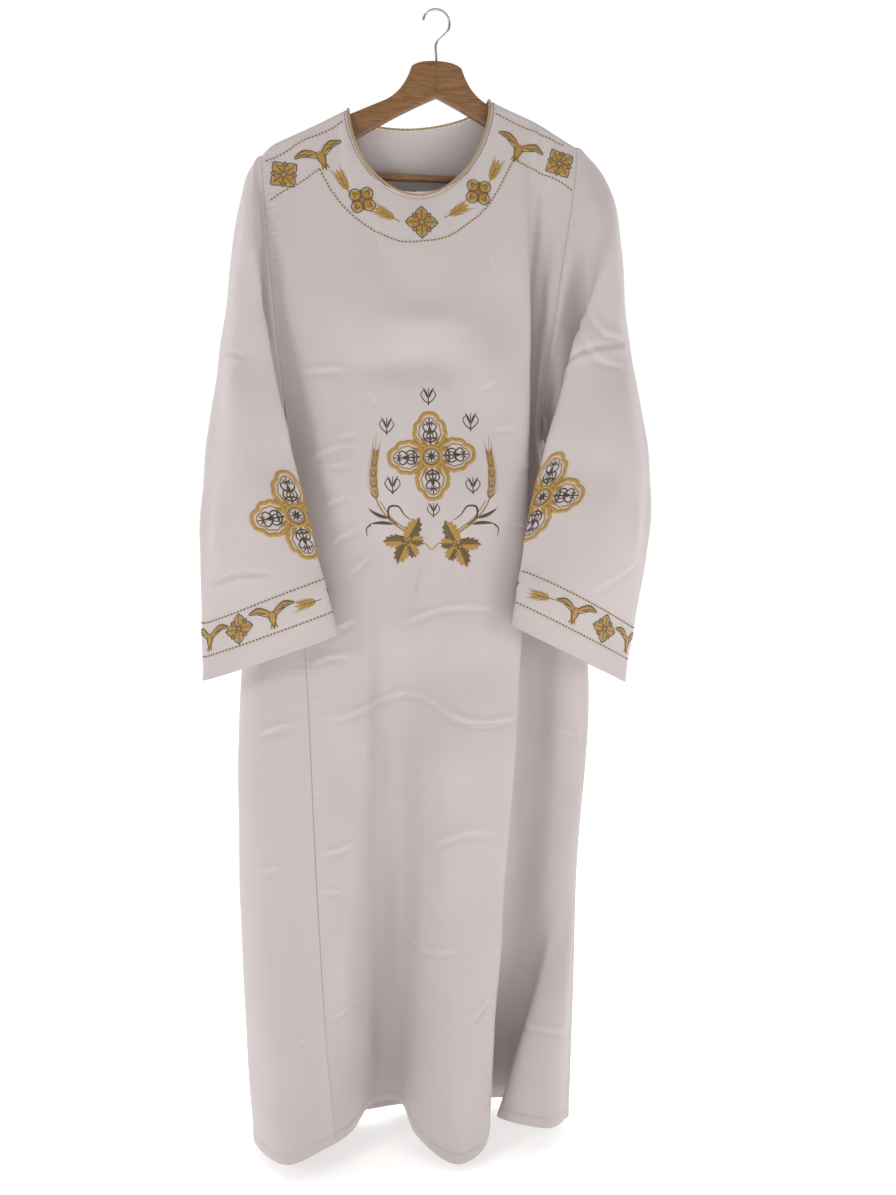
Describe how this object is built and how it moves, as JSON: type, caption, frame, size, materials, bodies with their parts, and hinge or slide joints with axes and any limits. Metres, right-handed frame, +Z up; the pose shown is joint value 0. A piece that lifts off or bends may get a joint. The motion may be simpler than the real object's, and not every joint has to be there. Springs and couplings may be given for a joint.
{
  "type": "deacon tunic on a wooden hanger",
  "caption": "Long-sleeved ankle-length white cloth tunic with a round neck, hung flat on a wooden hanger with a steel hook and a trouser bar.",
  "frame": {"origin": "inside top of the hanger's hook, where a rail carries it", "axes": "+Z up, the front of the tunic faces -Y, +X is the right-hand side as seen from the front"},
  "size_m": [0.6534, 0.2182, 1.6536],
  "materials": {
    "white_cloth": "white satin-faced polyester and cotton cloth with a soft sheen",
    "beige_cord": "beige piping cord, twisted",
    "gold_thread": "gold rayon embroidery thread, satin stitch",
    "brown_thread": "dark brown embroidery thread",
    "light_wood": "light brown varnished wood",
    "bar_wood": "turned wooden rod, thin varnish",
    "steel_wire": "polished steel wire"
  },
  "bodies": {
    "root": {"front_panel": "white_cloth", "back_panel": "white_cloth", "sleeve_left": "white_cloth", "sleeve_right": "white_cloth", "neck_binding": "beige_cord", "hanger_arm_left": "light_wood", "hanger_arm_right": "light_wood", "hanger_bar": "bar_wood", "hanger_hook": "steel_wire"}
  },
  "joints": []
}
